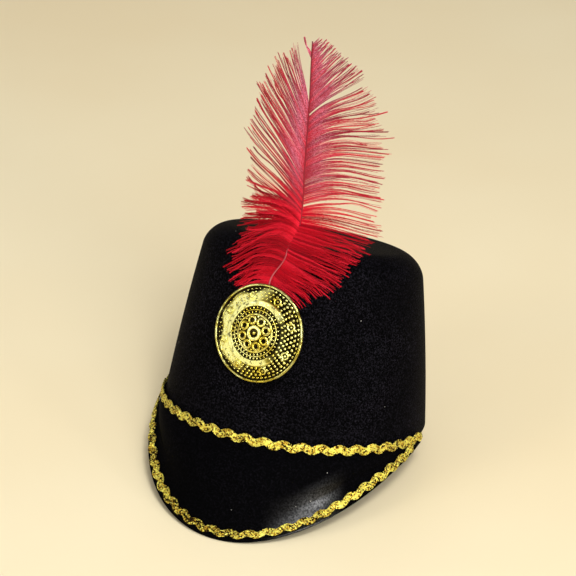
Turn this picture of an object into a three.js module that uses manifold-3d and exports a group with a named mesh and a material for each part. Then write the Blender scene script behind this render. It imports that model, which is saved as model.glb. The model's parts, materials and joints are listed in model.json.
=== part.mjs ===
// A costume shako: a tall felt crown, a drooping front peak, two wavy gold braids, a round
// embossed badge and a single red feather plume. Millimetres, +Z up, front towards -Y.
// Each piece is worked out on the hat's own axis, square to its rim, and the whole hat is then
// leaned back until it rests on the tip of its peak and the back of its rim.
import * as THREE from 'three';
import Module from 'manifold-3d';

const wasm = await Module();
wasm.setup();

const { sin, cos, tan, min, max, hypot, atan2, floor, PI } = Math;
const { degToRad, lerp, smoothstep } = THREE.MathUtils;

// Crown
const rimHalfWidth = 93.6;
const rimHalfLength = 97.4;
const crownHeight = 127.5;
const crownWall = 2;
const crownBulge = 1.3;
const topRound = 17;
const topSlope = degToRad(8);
const leanSide = degToRad(8);
const leanFront = degToRad(10);
const leanBack = degToRad(11.5);
const crownSides = 48;

// Clear gap between pieces that touch
const fitGap = 0.3;

// Peak
const peakReach = 129;
const peakDrop = 57;
const peakWall = 2;
const peakSideMargin = 3;
const peakEndDrop = 3.4;
const edgeArch = 6;
const flangeWidth = 9;
const flangeDip = degToRad(30);
const neckWall = 1.2;
const domeStart = degToRad(36);
const domeEnd = degToRad(78);
const domeFullness = 0.36;
const peakColumns = 40;
const domeRows = 6;

// Braids: a flat strip that winds from side to side along its line
const braidStrip = 5;
const braidThickness = 1.2;
const braidSwing = 1.2;
const braidWave = 12.5;
const braidStepsPerWave = 6;
const braidFrontHeight = 6;
const braidEndHeight = 2;
const crownBraidEnd = degToRad(91);
const peakBraidEnd = degToRad(76);
const peakBraidSeat = 0.45;
const peakBraidMargin = 1.3;

// Badge
const badgeRadius = 33.5;
const badgeHeight = 78;
const badgeOffset = 1.5;
const badgeStand = 4.3;
const badgeTilt = degToRad(2);
const badgeYaw = degToRad(-7.5);
const badgeRimHeight = 2.4;
const badgeDome = 7;
const badgeSheet = 1.3;
const badgeBoss = 5;
const badgeSides = 32;
const beadRadius = 1.3;
const beadHeight = 0.9;

// Plume
const plumeLength = 196;
const vaneReach = 52;
const plumeSway = 15.4;
const plumeFoot = 88;
const quillRadius = 1.25;
const quillTip = 0.75;
const quillSides = 6;
const vaneThickness = 1;
const vaneCurl = 10.816;
const plumeStraight = 30;
const plumeBend = 60;
const plumeForward = degToRad(-6);
const lockRelief = 0.8;

// Where the quill runs: along = share of the length, sway = share of the sideways sway
const quillLine = [
  { along: 0.0, sway: -0.55 },
  { along: 0.13, sway: 0.07 },
  { along: 0.235, sway: 0.58 },
  { along: 0.36, sway: 0.98 },
  { along: 0.43, sway: 1.0 },
  { along: 0.56, sway: 0.95 },
  { along: 0.7, sway: 0.94 },
  { along: 1.0, sway: 0.84 },
];

// Locks of barbs on each side of the quill. root and tip = shares of the plume's length,
// reach = share of the vane's reach, joined = how far out a lock clings to its neighbours
const locks = {
  left: [
    { root: 0.14, tip: 0.1, reach: 0.44, joined: 0.72 },
    { root: 0.165, tip: 0.125, reach: 0.66, joined: 0.78 },
    { root: 0.19, tip: 0.16, reach: 0.82, joined: 0.8 },
    { root: 0.22, tip: 0.205, reach: 0.78, joined: 0.8 },
    { root: 0.255, tip: 0.245, reach: 0.72, joined: 0.82 },
    { root: 0.29, tip: 0.3, reach: 0.83, joined: 0.8 },
    { root: 0.33, tip: 0.36, reach: 0.77, joined: 0.82 },
    { root: 0.37, tip: 0.43, reach: 0.74, joined: 0.84 },
    { root: 0.41, tip: 0.51, reach: 0.79, joined: 0.84 },
    { root: 0.46, tip: 0.58, reach: 0.83, joined: 0.84 },
    { root: 0.51, tip: 0.65, reach: 0.85, joined: 0.84 },
    { root: 0.57, tip: 0.72, reach: 0.8, joined: 0.84 },
    { root: 0.64, tip: 0.77, reach: 0.74, joined: 0.82 },
    { root: 0.7, tip: 0.82, reach: 0.68, joined: 0.82 },
    { root: 0.765, tip: 0.875, reach: 0.54, joined: 0.82 },
    { root: 0.825, tip: 0.925, reach: 0.41, joined: 0.78 },
    { root: 0.87, tip: 0.955, reach: 0.28, joined: 0.6 },
    { root: 0.915, tip: 0.995, reach: 0.17, joined: 0.34 },
  ],
  right: [
    { root: 0.13, tip: 0.085, reach: 0.51, joined: 0.74 },
    { root: 0.153, tip: 0.1, reach: 0.62, joined: 0.8 },
    { root: 0.178, tip: 0.13, reach: 0.73, joined: 0.82 },
    { root: 0.205, tip: 0.185, reach: 0.85, joined: 0.84 },
    { root: 0.235, tip: 0.22, reach: 0.92, joined: 0.84 },
    { root: 0.265, tip: 0.265, reach: 0.94, joined: 0.84 },
    { root: 0.296, tip: 0.316, reach: 0.97, joined: 0.82 },
    { root: 0.337, tip: 0.37, reach: 1.0, joined: 0.8 },
    { root: 0.378, tip: 0.43, reach: 0.98, joined: 0.78 },
    { root: 0.428, tip: 0.51, reach: 0.95, joined: 0.8 },
    { root: 0.475, tip: 0.59, reach: 0.93, joined: 0.82 },
    { root: 0.53, tip: 0.655, reach: 0.98, joined: 0.82 },
    { root: 0.59, tip: 0.755, reach: 0.9, joined: 0.82 },
    { root: 0.65, tip: 0.8, reach: 0.82, joined: 0.74 },
    { root: 0.704, tip: 0.835, reach: 0.72, joined: 0.72 },
    { root: 0.765, tip: 0.9, reach: 0.67, joined: 0.76 },
    { root: 0.82, tip: 0.925, reach: 0.5, joined: 0.8 },
    { root: 0.877, tip: 0.963, reach: 0.35, joined: 0.82 },
    { root: 0.93, tip: 0.985, reach: 0.18, joined: 0.8 },
  ],
};
const locksPerRow = 2;
const lockTrim = 0.94;

// Badge relief: at = share of the badge's radius, lift = height above the dome
const badgeRings = [
  { at: 0.9, lift: 0 },
  { at: 0.675, lift: 0 },
  { at: 0.655, lift: 0.8 },
  { at: 0.545, lift: 0.8 },
  { at: 0.525, lift: 0 },
  { at: 0.4, lift: 0 },
  { at: 0.385, lift: 0.5 },
  { at: 0.365, lift: 0.5 },
  { at: 0.35, lift: 0 },
  { at: 0.2, lift: 0 },
  { at: 0.185, lift: 0.9 },
  { at: 0.13, lift: 0.9 },
  { at: 0.115, lift: 0.1 },
  { at: 0.06, lift: 0.1 },
  { at: 0.045, lift: 0.9 },
];

// Raised beads in rings round the badge: size = share of a bead, long = stretch along the radius
const beadRows = [
  { at: 0.85, count: 32, size: 1.15, long: 1 },
  { at: 0.73, count: 8, size: 2.2, long: 1 },
  { at: 0.46, count: 16, size: 0.9, long: 1.7 },
  { at: 0.275, count: 8, size: 1.9, long: 1.15 },
];

const materials = {
  velvet: new THREE.MeshStandardMaterial({ color: 0x0d0b10, roughness: 0.95, metalness: 0 }),
  braid: new THREE.MeshStandardMaterial({ color: 0xd6a51e, roughness: 0.45, metalness: 0.7 }),
  gilt: new THREE.MeshStandardMaterial({ color: 0xd2ad2a, roughness: 0.28, metalness: 0.9 }),
  feather: new THREE.MeshStandardMaterial({ color: 0xc0102a, roughness: 0.85, metalness: 0 }),
};

// A closed body from points and triangles, turned so that its faces point out
function geometryOf(points, triangles) {
  const volume = triangles.reduce((sum, [a, b, c]) => (
    sum + points[a].dot(points[b].clone().cross(points[c]))), 0);
  const facing = volume > 0 ? triangles : triangles.map(([a, b, c]) => [c, b, a]);
  const geometry = new THREE.BufferGeometry();
  const flat = points.flatMap((p) => [p.x, p.y, p.z]);
  geometry.setAttribute('position', new THREE.Float32BufferAttribute(flat, 3));
  geometry.setIndex(facing.flat());
  return geometry;
}

// Rings of points, closed round, joined one to the next. A ring of one point is a pole.
// With strips set, the two ends are closed by strips, as on a long flat section.
function ringsBody(rings, strips = false) {
  const points = rings.flat();
  const triangles = [];
  const starts = [];
  rings.reduce((start, ring) => { starts.push(start); return start + ring.length; }, 0);
  for (let k = 0; k + 1 < rings.length; k++) {
    const [a, b] = [starts[k], starts[k + 1]];
    const [na, nb] = [rings[k].length, rings[k + 1].length];
    const n = max(na, nb);
    for (let i = 0; i < n; i++) {
      const j = (i + 1) % n;
      if (na > 1) triangles.push([a + i, a + j, b + (nb > 1 ? j : 0)]);
      if (nb > 1) triangles.push([a + (na > 1 ? i : 0), b + j, b + i]);
    }
  }
  if (strips) {
    const half = rings[0].length / 2;
    const last = starts[rings.length - 1];
    for (let i = 0; i + 1 < half; i++) {
      const [p, q, r, s] = [i, i + 1, 2 * half - 2 - i, 2 * half - 1 - i];
      triangles.push([q, p, r], [s, r, p]);
      triangles.push([last + p, last + q, last + r], [last + r, last + s, last + p]);
    }
  }
  return geometryOf(points, triangles);
}

// A flat patch of triangles given a thickness: its free edges get side walls
function sheetBody(front, back, patch) {
  const n = front.length;
  const edges = new Map();
  for (const [a, b, c] of patch) {
    for (const [p, q] of [[a, b], [b, c], [c, a]]) edges.set(`${p},${q}`, [p, q]);
  }
  const triangles = [...patch, ...patch.map(([a, b, c]) => [c + n, b + n, a + n])];
  for (const [p, q] of edges.values()) {
    if (!edges.has(`${q},${p}`)) triangles.push([q, p, p + n], [q, p + n, q + n]);
  }
  return geometryOf([...front, ...back], triangles);
}

function toSolid(geometry) {
  const vertProperties = geometry.attributes.position.array;
  const triVerts = new Uint32Array(geometry.index.array);
  return new wasm.Manifold(new wasm.Mesh({ numProp: 3, vertProperties, triVerts }));
}

function fromSolid(solid) {
  const mesh = solid.getMesh();
  const geometry = new THREE.BufferGeometry();
  geometry.setAttribute('position', new THREE.BufferAttribute(mesh.vertProperties, 3));
  geometry.setIndex(new THREE.BufferAttribute(mesh.triVerts, 1));
  return geometry;
}

// The crown's outside
const shoulder = crownHeight - topRound;

function crownSection(level) {
  const bulge = 4 * crownBulge * level * (crownHeight - level) / crownHeight ** 2;
  return {
    side: rimHalfWidth - level * tan(leanSide) + bulge,
    front: rimHalfLength - level * tan(leanFront) + bulge,
    back: rimHalfLength - level * tan(leanBack) + bulge,
  };
}

function crownPoint(turn, level, inset) {
  const section = crownSection(level);
  const depth = cos(turn) > 0 ? section.front : section.back;
  const y = -(depth - inset) * cos(turn);
  const slope = min(level / shoulder, 1) * tan(topSlope);
  return new THREE.Vector3((section.side - inset) * sin(turn), y, level - slope * y);
}

// Radius of the crown's outside towards an angle from the front, at a true height
function crownRadius(angle, height, off) {
  let level = height;
  for (let step = 0; step < 4; step++) {
    const { front, back } = crownSection(level);
    const forward = cos(angle) * (cos(angle) > 0 ? front : back);
    level = height / (1 + tan(topSlope) * forward / shoulder);
  }
  const { side, front, back } = crownSection(level);
  const depth = cos(angle) > 0 ? front : back;
  return 1 / hypot(sin(angle) / (side + off), cos(angle) / (depth + off));
}

function polar(angle, radius, height) {
  return new THREE.Vector3(radius * sin(angle), -radius * cos(angle), height);
}

function crownBody() {
  const turns = Array.from({ length: crownSides }, (_, i) => 2 * PI * i / crownSides);
  const ring = (level, inset) => turns.map((turn) => crownPoint(turn, level, inset));
  const shell = (wall, wallRings, roundRings) => {
    const rings = [];
    for (let i = 0; i <= wallRings; i++) rings.push(ring(shoulder * i / wallRings, wall));
    for (let i = 1; i <= roundRings; i++) {
      const a = PI / 2 * i / roundRings;
      const bend = topRound - wall;
      rings.push(ring(shoulder + bend * sin(a), wall + bend * (1 - cos(a))));
    }
    rings.push([new THREE.Vector3(0, 0, crownHeight - wall)]);
    return rings;
  };
  return ringsBody([...shell(crownWall, 5, 4).reverse(), ...shell(0, 7, 5)]);
}

// The peak's section towards an angle from the front, as radius and height
function braidHeight(angle) {
  const share = min(1, Math.abs(angle) / crownBraidEnd);
  return lerp(braidEndHeight, braidFrontHeight, cos(share * PI / 2));
}

const bandHalf = braidStrip / 2 + braidSwing;
const neckReach = fitGap + neckWall;

function peakSection(angle) {
  const neckTop = braidHeight(angle);
  const neckFoot = neckTop - bandHalf - fitGap;
  const neck = { r: crownRadius(angle, neckFoot, neckReach), z: neckFoot };
  const halfWidth = rimHalfWidth + peakSideMargin;
  const edgeRadius = 1 / hypot(sin(angle) / halfWidth, cos(angle) / peakReach);
  const ahead = max(0, edgeRadius * cos(angle) / peakReach);
  const fall = lerp(peakEndDrop, peakDrop, ahead) - 4 * edgeArch * ahead * (1 - ahead);
  const edge = { r: edgeRadius, z: -fall };
  const chord = hypot(edge.r - neck.r, edge.z - neck.z);
  const chordDip = atan2(neck.z - edge.z, edge.r - neck.r);
  const width = min(flangeWidth, 0.9 * chord);
  const dip = lerp(chordDip, flangeDip, smoothstep(cos(angle), 0.12, 0.7));
  const inward = { r: -cos(dip), z: sin(dip) };
  const fold = { r: edge.r + width * inward.r, z: edge.z + width * inward.z };
  return { neckTop, neck, edge, fold, inward, lift: { r: sin(dip), z: cos(dip) } };
}

function peakProfile(angle) {
  const { neckTop, neck, edge, fold } = peakSection(angle);
  const span = hypot(fold.r - neck.r, fold.z - neck.z);
  const dip = atan2(neck.z - fold.z, fold.r - neck.r);
  const fullness = smoothstep(span, 0, 20);
  const [leave, arrive] = [lerp(dip, domeStart, fullness), lerp(dip, domeEnd, fullness)];
  const pull = domeFullness * span;
  const dome = new THREE.CubicBezierCurve(
    new THREE.Vector2(neck.r, neck.z),
    new THREE.Vector2(neck.r + pull * cos(leave), neck.z - pull * sin(leave)),
    new THREE.Vector2(fold.r - pull * cos(arrive), fold.z + pull * sin(arrive)),
    new THREE.Vector2(fold.r, fold.z),
  );
  const outside = dome.getPoints(domeRows);
  outside.push(new THREE.Vector2(edge.r, edge.z));
  const inside = outside.map((point, i) => {
    const before = outside[max(0, i - 1)];
    const after = outside[min(outside.length - 1, i + 1)];
    const along = after.clone().sub(before).normalize();
    return new THREE.Vector2(point.x + along.y * peakWall, point.y - along.x * peakWall);
  });
  inside[0].set(crownRadius(angle, neck.z, fitGap), neck.z - neckWall);
  outside.unshift(new THREE.Vector2(crownRadius(angle, neckTop, neckReach), neckTop));
  inside.unshift(new THREE.Vector2(crownRadius(angle, neckTop, fitGap), neckTop));
  return [...outside, ...inside.reverse()];
}

function peakBody() {
  const columns = Array.from({ length: peakColumns + 1 }, (_, i) => {
    const angle = PI / 2 * (2 * i / peakColumns - 1);
    return peakProfile(angle).map((point) => polar(angle, point.x, point.y));
  });
  return ringsBody(columns, true);
}

// A winding strip: place(along, across, off) puts a point of it on what carries it
function braidBody(halfLength, place) {
  const waves = max(1, floor(2 * halfLength / braidWave));
  const steps = waves * braidStepsPerWave;
  const rings = [];
  for (let i = 0; i <= steps; i++) {
    const along = halfLength * (2 * i / steps - 1);
    const phase = 2 * PI * i / braidStepsPerWave;
    const slope = braidSwing * cos(phase) * PI * waves / halfLength;
    const square = braidStrip / 2 / hypot(1, slope);
    const mark = (side, off) => place(
      along - side * slope * square,
      braidSwing * sin(phase) + side * square,
      off,
    );
    rings.push([mark(-1, braidThickness), mark(1, braidThickness), mark(1, 0), mark(-1, 0)]);
  }
  return ringsBody(rings, true);
}

function crownBraidBody() {
  const radius = (rimHalfWidth + rimHalfLength) / 2;
  return braidBody(crownBraidEnd * radius, (along, across, off) => {
    const angle = along / radius;
    const height = braidHeight(angle) + across;
    return polar(angle, crownRadius(angle, height, neckReach + fitGap + off), height);
  });
}

function peakBraidBody() {
  const samples = 400;
  const angles = Array.from({ length: samples + 1 }, (_, i) => peakBraidEnd * 1.04 * i / samples);
  const lengths = [0];
  for (let i = 1; i <= samples; i++) {
    const [a, b] = [peakSection(angles[i - 1]).edge, peakSection(angles[i]).edge];
    const step = polar(angles[i], b.r, b.z).distanceTo(polar(angles[i - 1], a.r, a.z));
    lengths.push(lengths[i - 1] + step);
  }
  const angleAt = (length) => {
    const reach = Math.abs(length);
    const i = min(samples, max(1, lengths.findIndex((value) => value >= reach)));
    const share = (reach - lengths[i - 1]) / (lengths[i] - lengths[i - 1]);
    return Math.sign(length) * lerp(angles[i - 1], angles[i], share);
  };
  const last = lengths[floor(samples / 1.04)];
  return braidBody(last, (along, across, off) => {
    const angle = angleAt(along);
    const { edge, inward, lift } = peakSection(angle);
    const inset = peakBraidMargin + bandHalf + across;
    const rise = peakBraidSeat + off;
    return polar(angle, edge.r + inward.r * inset + lift.r * rise,
      edge.z + inward.z * inset + lift.z * rise);
  });
}

// Badge, on its own axis: +Z is straight out of its face
function domeHeight(share) {
  const field = badgeRings[0].at;
  return 1 + badgeDome * (1 - (share / field) ** 2);
}

function badgeBody() {
  const turns = Array.from({ length: badgeSides }, (_, i) => 2 * PI * i / badgeSides);
  const ring = (radius, z) => turns.map((turn) => (
    new THREE.Vector3(radius * cos(turn), radius * sin(turn), z)));
  const foot = -(badgeStand - fitGap - 0.2);
  const backRows = [0.3, 0.6, 0.88].map((at) => ring(at * badgeRadius, domeHeight(at) - badgeSheet));
  const rimRows = [
    ring(0.93 * badgeRadius, 0),
    ring(0.985 * badgeRadius, 0),
    ring(badgeRadius, 0.6),
    ring(badgeRadius, badgeRimHeight - 0.6),
    ring(0.98 * badgeRadius, badgeRimHeight),
    ring(0.95 * badgeRadius, badgeRimHeight),
  ];
  const faceRows = badgeRings.map(({ at, lift }) => ring(at * badgeRadius, domeHeight(at) + lift));
  const last = badgeRings[badgeRings.length - 1];
  const disc = ringsBody([
    [new THREE.Vector3(0, 0, foot)],
    ring(badgeBoss, foot),
    ring(badgeBoss, domeHeight(badgeBoss / badgeRadius) - badgeSheet),
    ...backRows,
    ...rimRows,
    ...faceRows,
    [new THREE.Vector3(0, 0, domeHeight(0) + last.lift)],
  ]);
  let solid = toSolid(disc);
  for (const { at, count, size, long } of beadRows) {
    for (let i = 0; i < count; i++) {
      const turn = 2 * PI * (i + 0.5) / count;
      solid = solid.add(toSolid(beadBody(at, turn, size, long)));
    }
  }
  return fromSolid(solid);
}

function beadBody(at, turn, size, long) {
  const radius = size * beadRadius;
  const sides = size > 1.5 ? 6 : 4;
  const centre = new THREE.Vector2(cos(turn), sin(turn)).multiplyScalar(at * badgeRadius);
  const base = domeHeight(at);
  const ring = (share, z) => Array.from({ length: sides }, (_, i) => {
    const a = 2 * PI * i / sides;
    const [u, v] = [long * share * radius * cos(a), share * radius * sin(a)];
    return new THREE.Vector3(
      centre.x + u * cos(turn) - v * sin(turn),
      centre.y + u * sin(turn) + v * cos(turn),
      z,
    );
  });
  const sunk = new THREE.Vector3(centre.x, centre.y, base - 1);
  const peak = new THREE.Vector3(centre.x, centre.y, base + beadHeight);
  return ringsBody([[sunk], ring(1, base - 1), ring(0.85, base + 0.4), [peak]]);
}

// Plume: a point on the feather's surface, from the share along it and the sideways place
const footRadius = crownRadius(0, plumeFoot, fitGap + quillRadius);
const wallLean = atan2(footRadius - crownRadius(0, plumeFoot + plumeStraight, fitGap + quillRadius),
  plumeStraight);

const plumeCourse = [{ y: -footRadius, z: plumeFoot }];
for (let s = 0; s < plumeLength + 1; s++) {
  const bend = smoothstep(s, plumeStraight, plumeStraight + plumeBend);
  const lean = lerp(wallLean, plumeForward, bend);
  const last = plumeCourse[s];
  plumeCourse.push({ y: last.y + sin(lean), z: last.z + cos(lean) });
}

function plumePoint(x, along, off) {
  const s = along * plumeLength;
  const i = min(plumeCourse.length - 2, max(0, floor(s)));
  const [a, b] = [plumeCourse[i], plumeCourse[i + 1]];
  const curl = vaneCurl * (x / vaneReach) ** 2;
  return new THREE.Vector3(x, lerp(a.y, b.y, s - i) + curl - off, lerp(a.z, b.z, s - i));
}

function quillSway(along) {
  const i = max(1, quillLine.findIndex((row) => row.along >= along));
  const [a, b] = [quillLine[i - 1], quillLine[i]];
  return plumeSway * lerp(a.sway, b.sway, smoothstep(along, a.along, b.along));
}

function vaneRows(rows) {
  const out = [];
  for (let k = 0; k < (rows.length - 1) * locksPerRow + 1; k++) {
    const [i, part] = [floor(k / locksPerRow), (k % locksPerRow) / locksPerRow];
    const [a, b] = [rows[i], rows[min(i + 1, rows.length - 1)]];
    const mixed = {};
    for (const name of Object.keys(a)) mixed[name] = lerp(a[name], b[name], part);
    if (part > 0) mixed.reach *= lockTrim;
    out.push(mixed);
  }
  return out;
}

function vaneBody(rows, side) {
  const all = vaneRows(rows);
  const tipX = (row) => quillSway(row.root) + side * row.reach * vaneReach;
  const marks = [];
  const patch = [];
  const mark = (x, along, off) => marks.push({ x, along, off }) - 1;
  const seams = Array.from({ length: all.length + 1 }, (_, k) => {
    const [a, b] = [all[max(0, k - 1)], all[min(all.length - 1, k)]];
    const neighbour = k === 0 ? all[1] : all[all.length - 2];
    const inside = k > 0 && k < all.length;
    const root = inside ? (a.root + b.root) / 2 : a.root + (a.root - neighbour.root) / 2;
    const from = { x: quillSway(root) + side * 0.1, along: root };
    const to = { x: (tipX(a) + tipX(b)) / 2, along: (a.tip + b.tip) / 2 };
    const relief = (k % 2 ? 1 : -1) * lockRelief;
    const point = (t, off) => {
      const bow = t * (1 - t) * 0.6 * (to.along - from.along);
      return mark(lerp(from.x, to.x, t), lerp(from.along, to.along, t) - bow, off);
    };
    return [point(0, 0), point(0.4, relief / 2), point(min(a.joined, b.joined), relief)];
  });
  all.forEach((row, k) => {
    const [a, b] = [seams[k], seams[k + 1]];
    const tip = mark(tipX(row), row.tip, 0);
    patch.push([a[0], a[1], b[1]], [a[0], b[1], b[0]]);
    patch.push([a[1], a[2], b[2]], [a[1], b[2], b[1]]);
    patch.push([a[2], tip, b[2]]);
  });
  const layer = (off) => marks.map((m) => plumePoint(m.x, m.along, m.off + off));
  return sheetBody(layer(vaneThickness / 2), layer(-vaneThickness / 2), patch);
}

function quillBody() {
  const steps = 16;
  const rings = [];
  for (let i = 0; i <= steps; i++) {
    const along = 0.98 * i / steps;
    const radius = lerp(quillRadius, quillTip, i / steps);
    const centre = plumePoint(quillSway(along), along, 0);
    rings.push(Array.from({ length: quillSides }, (_, k) => {
      const a = 2 * PI * k / quillSides;
      return new THREE.Vector3(centre.x + radius * cos(a), centre.y + radius * sin(a), centre.z);
    }));
  }
  const [foot, tip] = [0, 0.98].map((along) => [plumePoint(quillSway(along), along, 0)]);
  return ringsBody([foot, ...rings, tip]);
}

function plumeBody() {
  const quill = toSolid(quillBody());
  const [left, right] = [toSolid(vaneBody(locks.left, -1)), toSolid(vaneBody(locks.right, 1))];
  return fromSolid(quill.add(left).add(right));
}

// The hat
const hat = new THREE.Group();

function addPiece(name, geometry, material) {
  geometry.computeVertexNormals();
  const mesh = new THREE.Mesh(geometry, material);
  mesh.name = name;
  hat.add(mesh);
  return mesh;
}

addPiece('crown', crownBody(), materials.velvet);
addPiece('peak', peakBody(), materials.velvet);
addPiece('crown_braid', crownBraidBody(), materials.braid);
addPiece('peak_braid', peakBraidBody(), materials.braid);
addPiece('plume', plumeBody(), materials.feather);

const badge = addPiece('badge', badgeBody(), materials.gilt);
const outward = new THREE.Vector3(0, -1, 0)
  .applyAxisAngle(new THREE.Vector3(1, 0, 0), -(wallLean + badgeTilt))
  .applyAxisAngle(new THREE.Vector3(0, 0, 1), badgeYaw);
const across = new THREE.Vector3(0, 0, 1).cross(outward).normalize();
const upward = outward.clone().cross(across);
badge.quaternion.setFromRotationMatrix(new THREE.Matrix4().makeBasis(across, upward, outward));
badge.position.set(badgeOffset, -crownRadius(0, badgeHeight, 0), badgeHeight);
badge.position.addScaledVector(outward, badgeStand);

// Resting pose: leaned back about the back of the rim until the peak's edge is as low
const peakPoints = hat.getObjectByName('peak').geometry.attributes.position;
let restAngle = 0;
for (let i = 0; i < peakPoints.count; i++) {
  const angle = atan2(-peakPoints.getZ(i), rimHalfLength - peakPoints.getY(i));
  restAngle = max(restAngle, angle);
}
hat.rotation.x = -restAngle;

const shako = new THREE.Group();
shako.add(hat);
shako.updateMatrixWorld(true);
const bounds = new THREE.Box3().setFromObject(shako, true);
const middle = bounds.getCenter(new THREE.Vector3());
hat.position.set(-middle.x, -middle.y, -bounds.min.z);
shako.updateMatrixWorld(true);

export default shako;
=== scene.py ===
import json
import math

import bpy
import numpy as np
from mathutils import Matrix, Vector


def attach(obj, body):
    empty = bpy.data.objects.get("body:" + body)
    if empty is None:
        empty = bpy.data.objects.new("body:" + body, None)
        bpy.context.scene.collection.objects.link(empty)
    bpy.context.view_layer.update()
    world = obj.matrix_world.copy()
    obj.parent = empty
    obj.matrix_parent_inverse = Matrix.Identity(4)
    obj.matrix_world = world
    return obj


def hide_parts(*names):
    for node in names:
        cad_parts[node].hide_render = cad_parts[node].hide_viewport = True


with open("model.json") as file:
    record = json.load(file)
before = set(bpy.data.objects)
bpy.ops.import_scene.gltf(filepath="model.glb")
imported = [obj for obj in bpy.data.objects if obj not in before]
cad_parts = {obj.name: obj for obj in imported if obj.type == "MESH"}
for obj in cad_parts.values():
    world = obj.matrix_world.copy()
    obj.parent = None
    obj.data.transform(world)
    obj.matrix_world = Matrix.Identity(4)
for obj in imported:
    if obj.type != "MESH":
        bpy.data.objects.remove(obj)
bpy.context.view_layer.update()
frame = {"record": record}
print("frame loaded")

# The hat's own sizes, in millimetres and degrees, square to its rim. Front is -Y, as in the frame.
hat = {
    "rimHalfWidth": 93.6, "rimHalfLength": 97.4, "height": 127.5, "wall": 2.0, "bulge": 1.3,
    "topRound": 17.0, "topSlope": 8.0, "leanSide": 8.0, "leanFront": 10.0, "leanBack": 11.5,
    "fitGap": 0.3,
}
rimMount = next(m for m in frame["record"]["mounts"] if m["name"] == "head_rim")
leanAngle = math.atan2(-rimMount["axis"][1], -rimMount["axis"][2])
rimInset = 1.0  # the mount lies in the middle of the rim's edge, at its right side
hatShift = Vector(rimMount["pos_m"]) - Vector(((hat["rimHalfWidth"] - rimInset) / 1000, 0, 0))
toRow = Matrix.Translation(hatShift) @ Matrix.Rotation(-leanAngle, 4, "X") @ Matrix.Scale(0.001, 4)


def rowPoints(points):
    rotated = np.asarray(points, float) @ np.array(toRow.to_3x3()).T
    return rotated + np.array(toRow.translation)


def tanDeg(angle):
    return math.tan(math.radians(angle))


# Node trees: one wrapper for a socket, one method for every other node
class Socket:
    def __init__(self, graph, socket):
        self.graph, self.socket = graph, socket

    def maths(self, operation, first, second):
        return self.graph.node("ShaderNodeMath", {"operation": operation}, {0: first, 1: second})

    def __add__(self, other): return self.maths("ADD", self, other)
    def __radd__(self, other): return self.maths("ADD", other, self)
    def __sub__(self, other): return self.maths("SUBTRACT", self, other)
    def __rsub__(self, other): return self.maths("SUBTRACT", other, self)
    def __mul__(self, other): return self.maths("MULTIPLY", self, other)
    def __rmul__(self, other): return self.maths("MULTIPLY", other, self)
    def __lt__(self, other): return self.maths("LESS_THAN", self, other)
    def __gt__(self, other): return self.maths("GREATER_THAN", self, other)


class Graph:
    def __init__(self, tree):
        self.tree = tree

    def node(self, kind, settings=None, sockets=None, out=0):
        made = self.tree.nodes.new(kind)
        for key, value in (settings or {}).items():
            if key == "stops":
                ramp = made.color_ramp
                while len(ramp.elements) < len(value):
                    ramp.elements.new(1.0)
                for element, (place, colour) in zip(ramp.elements, value):
                    element.position, element.color = place, (*colour, 1.0)
            else:
                setattr(made, key, value)
        for key, value in (sockets or {}).items():
            if isinstance(value, Socket):
                self.tree.links.new(value.socket, made.inputs[key])
            else:
                made.inputs[key].default_value = value
        return Socket(self, made.outputs[out]) if made.outputs else made


class Finish(Graph):
    def __init__(self, name):
        self.material = bpy.data.materials.new(name)
        self.material.use_nodes = True
        super().__init__(self.material.node_tree)
        self.tree.nodes.clear()
        self.place = self.node("ShaderNodeTexCoord", out="Object")

    def noise(self, scale, detail=2.0, roughness=0.5):
        return self.node("ShaderNodeTexNoise", None, {
            "Vector": self.place, "Scale": scale, "Detail": detail, "Roughness": roughness})

    # How far the nearest grain's middle is, and a random number for that grain
    def grains(self, scale):
        away = self.node("ShaderNodeTexVoronoi", None, {"Vector": self.place, "Scale": scale})
        colour = Socket(self, away.socket.node.outputs["Color"])
        return away, self.node("ShaderNodeSeparateColor", None, {"Color": colour})

    def ramp(self, factor, stops):
        return self.node("ShaderNodeValToRGB", {"stops": stops}, {"Fac": factor})

    def mix(self, factor, first, second):
        sockets = {0: factor, 6: first, 7: second}
        return self.node("ShaderNodeMix", {"data_type": "RGBA"}, sockets, 2)

    def range(self, value, low, high, lowOut=0.0, highOut=1.0):
        return self.node("ShaderNodeMapRange", None, {
            "Value": value, "From Min": low, "From Max": high,
            "To Min": lowOut, "To Max": highOut})

    def attribute(self, name):
        return self.node("ShaderNodeAttribute", {"attribute_name": name}, out="Fac")

    def bump(self, height, strength, distance, normal=None):
        sockets = {"Height": height, "Strength": strength, "Distance": distance}
        if normal:
            sockets["Normal"] = normal
        return self.node("ShaderNodeBump", None, sockets)

    def surface(self, **sockets):
        named = {key.replace("_", " "): value for key, value in sockets.items()}
        shader = self.node("ShaderNodeBsdfPrincipled", None, named)
        self.node("ShaderNodeOutputMaterial", None, {"Surface": shader})
        return self.material


def rgb(*channels):
    return (*channels, 1.0)


# Meshes
def pieceFrom(name, points, faces, material):
    mesh = bpy.data.meshes.new(name)
    mesh.from_pydata(np.asarray(points).tolist(), [], faces)
    mesh.update()
    mesh.materials.append(material)
    mesh.shade_smooth()
    piece = bpy.data.objects.new(name, mesh)
    bpy.context.collection.objects.link(piece)
    return piece


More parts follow.
